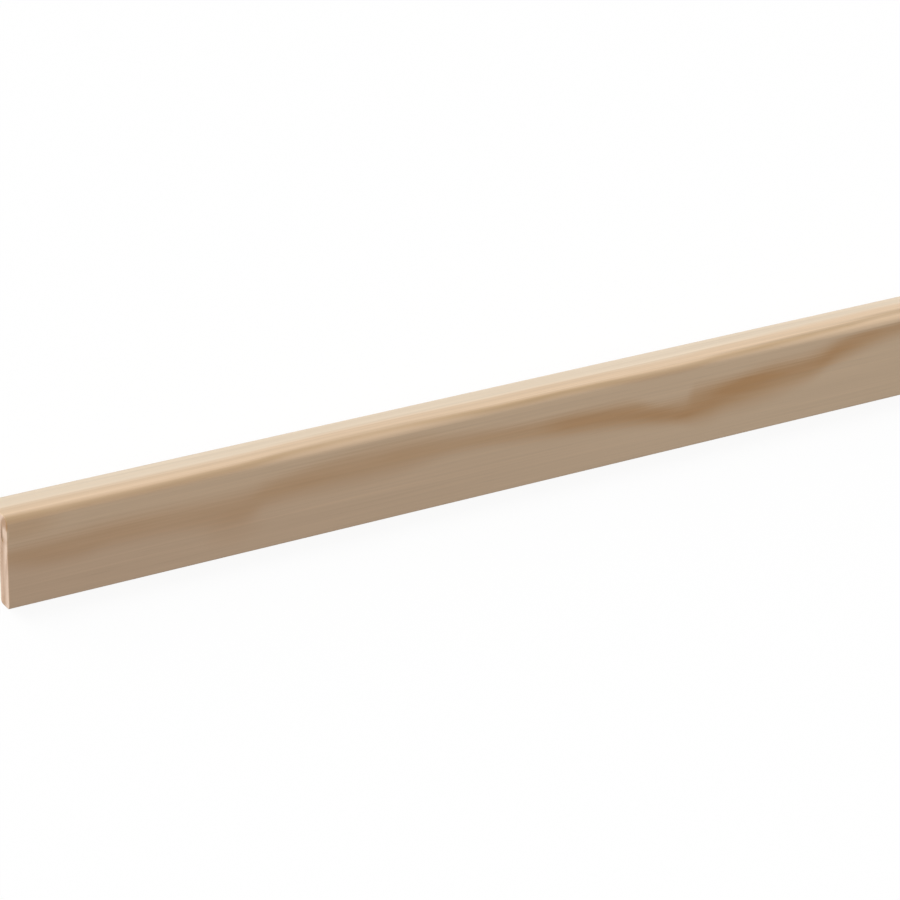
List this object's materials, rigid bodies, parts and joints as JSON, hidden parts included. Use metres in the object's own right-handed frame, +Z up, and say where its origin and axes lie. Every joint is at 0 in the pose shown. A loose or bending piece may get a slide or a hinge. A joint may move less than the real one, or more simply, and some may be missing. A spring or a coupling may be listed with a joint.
{
  "type": "hockey stick moulding",
  "caption": "Long pine trim strip with a thin flat leg and a rounded hook turned back along its top, to cap the edge of a board or panel.",
  "frame": {"origin": "on the floor, under the middle of the strip as it lies show face up on the hook's lip and the back of the leg's foot", "axes": "+X along the strip, +Y across it towards the hook, +Z up"},
  "size_m": [2.4, 0.036, 0.0192],
  "materials": {
    "pine": "planed, bare"
  },
  "bodies": {
    "root": {"moulding": "pine"}
  },
  "joints": []
}
